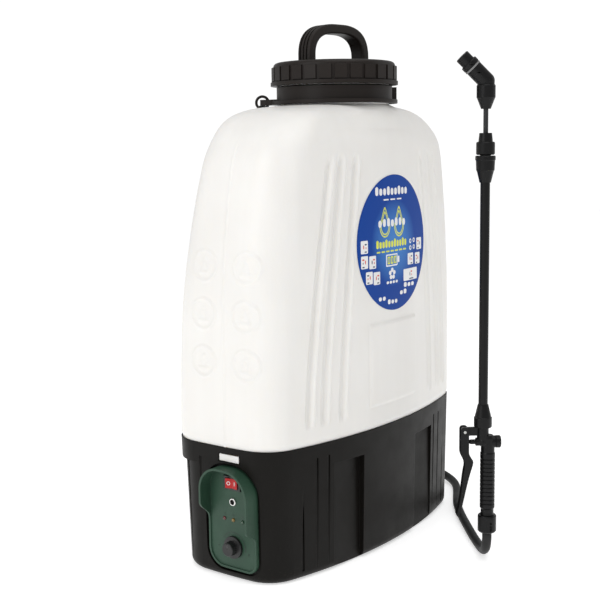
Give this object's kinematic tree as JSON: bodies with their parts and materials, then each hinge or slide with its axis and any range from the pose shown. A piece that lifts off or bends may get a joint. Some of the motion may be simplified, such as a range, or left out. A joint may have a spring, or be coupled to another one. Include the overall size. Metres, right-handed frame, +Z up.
{
  "type": "backpack sprayer",
  "caption": "Battery knapsack sprayer: translucent tank on a black base, screw-ring lid with carry handle, side control panel, shoulder straps and hose-fed spray lance.",
  "frame": {"origin": "on the floor, at the middle of the base's underside", "axes": "+Z up; +Y towards the wearer's back and the straps; -Y the broad outer face; -X the narrow side with the control panel"},
  "size_m": [0.4504, 0.324, 0.5755],
  "materials": {
    "tank_plastic": "milky translucent blow-moulded polyethylene, semi-gloss",
    "black_plastic": "black satin moulded plastic",
    "ring_plastic": "black satin polypropylene",
    "panel_plastic": "dark green satin plastic",
    "switch_black": "black gloss",
    "switch_red": "translucent red gloss",
    "steel_bright": "bright nickel",
    "steel_zinc": "zinc plated",
    "led_red": "tinted lens",
    "led_amber": "tinted lens",
    "led_green": "tinted lens",
    "knob_plastic": "black soft matt",
    "board_green": "circuit board",
    "battery_blue": "shrink sleeve",
    "motor_steel": "pressed steel can",
    "rubber_black": "soft black rubber",
    "clear_hose": "grey flexible hose",
    "strainer_white": "white moulded mesh",
    "lance_plastic": "black semi-gloss nylon",
    "rod_grey": "dark grey glass-filled tube",
    "oring_grey": "grey rubber",
    "brass": "turned brass",
    "strap_fabric": "black padded woven nylon",
    "webbing": "black woven webbing"
  },
  "bodies": {
    "pack": {"base_shell": "black_plastic", "tank": "tank_plastic", "neck_collar": "black_plastic", "filter_basket": "strainer_white", "control_panel": "panel_plastic", "switch_bezel": "switch_black", "jack_ring": "steel_bright", "jack_core": "switch_black", "led_red": "led_red", "led_amber": "led_amber", "led_green": "led_green", "speed_pot": "steel_zinc", "control_board": "board_green", "battery_pack": "battery_blue", "battery_cradle": "black_plastic", "pump_motor": "motor_steel", "pump_head": "black_plastic", "pump_bracket": "black_plastic", "pump_screws": "steel_zinc", "tank_outlet": "strainer_white", "outlet_nut": "strainer_white", "suction_hose": "clear_hose", "delivery_hose": "clear_hose", "outlet_fitting": "lance_plastic", "outlet_locknut": "lance_plastic", "hose_sleeve": "steel_bright", "rubber_feet": "rubber_black", "shoulder_straps": "strap_fabric", "upper_webbing": "webbing", "lower_webbing": "webbing", "strap_rings": "ring_plastic", "strap_pins": "steel_zinc", "strap_buckles": "black_plastic", "spray_hose": "rubber_black"},
    "lid": {"lid": "ring_plastic", "lid_seal": "rubber_black", "breather_valve": "rubber_black", "carry_handle": "ring_plastic", "handle_screws": "steel_zinc"},
    "cap_ring": {"cap_ring": "ring_plastic"},
    "rocker": {"switch_rocker": "switch_red"},
    "speed_knob": {"speed_knob": "knob_plastic"},
    "hose_tail": {"hose_tail": "brass"},
    "lance": {"lance_handle": "lance_plastic", "hose_nut": "lance_plastic", "valve_cap": "lance_plastic", "valve_spring": "steel_bright", "trigger_pin": "steel_zinc", "lance_nut": "lance_plastic", "lance_tube": "lance_plastic", "upper_union": "lance_plastic"},
    "trigger": {"trigger": "lance_plastic"},
    "valve": {"valve_pin": "lance_plastic"},
    "clamp_nut": {"clamp_nut": "lance_plastic"},
    "rod": {"inner_tube": "rod_grey", "nozzle_nut": "lance_plastic"},
    "nozzle": {"nozzle_elbow": "lance_plastic", "nozzle_oring": "oring_grey", "swirl_disc": "brass"},
    "nozzle_cap": {"nozzle_cap": "lance_plastic"}
  },
  "joints": [
    {"name": "lid_lift", "type": "slide", "parent": "pack", "child": "lid", "axis": [0, 0, 1], "range_m": [0, 0.12]},
    {"name": "ring_turn", "type": "hinge", "parent": "lid", "child": "cap_ring", "pos_m": [0, -0.018, 0.52], "axis": [0, 0, 1], "continuous": true},
    {"name": "switch_rock", "type": "hinge", "parent": "pack", "child": "rocker", "pos_m": [-0.1785, -0.0146, 0.1036], "axis": [0, 0, -1], "range_deg": [0, 12]},
    {"name": "speed_turn", "type": "hinge", "parent": "pack", "child": "speed_knob", "pos_m": [-0.19, -0.0146, 0.0352], "axis": [-1, 0, 0], "range_deg": [-135, 135]},
    {"name": "lance_lift", "type": "slide", "parent": "pack", "child": "hose_tail", "axis": [0, 0, 1], "range_m": [0, 0.08]},
    {"name": "lance_swivel", "type": "hinge", "parent": "hose_tail", "child": "lance", "pos_m": [0.00776, -0.20668, 0.036], "axis": [0, 0, 1], "range_deg": [-180, 180]},
    {"name": "trigger_squeeze", "type": "hinge", "parent": "lance", "child": "trigger", "pos_m": [-0.00744, -0.18721, 0.1462], "axis": [-0.788, -0.6157, 0], "range_deg": [0, 12], "stiffness_Nm_per_rad": 0.05},
    {"name": "valve_push", "type": "slide", "parent": "lance", "child": "valve", "axis": [0.6157, -0.788, 0], "range_m": [0, 0.00255], "deforming": ["valve_spring"]},
    {"name": "clamp_turn", "type": "hinge", "parent": "lance", "child": "clamp_nut", "pos_m": [0.0045, -0.2025, 0.44], "axis": [0, 0, 1], "range_deg": [0, 180]},
    {"name": "rod_extend", "type": "slide", "parent": "lance", "child": "rod", "axis": [0, 0, 1], "range_m": [0, 0.15]},
    {"name": "nozzle_turn", "type": "hinge", "parent": "rod", "child": "nozzle", "pos_m": [0.0045, -0.2025, 0.5078], "axis": [0, 0, 1], "range_deg": [-180, 180]},
    {"name": "spray_adjust", "type": "hinge", "parent": "nozzle", "child": "nozzle_cap", "pos_m": [0.0045, -0.2025, 0.5078], "axis": [-0.4353, 0.5572, 0.7071], "range_deg": [0, 360]}
  ],
  "couplings": [
    {"joint": "valve_push", "follows": "trigger_squeeze", "m_per_rad": 0.012}
  ]
}
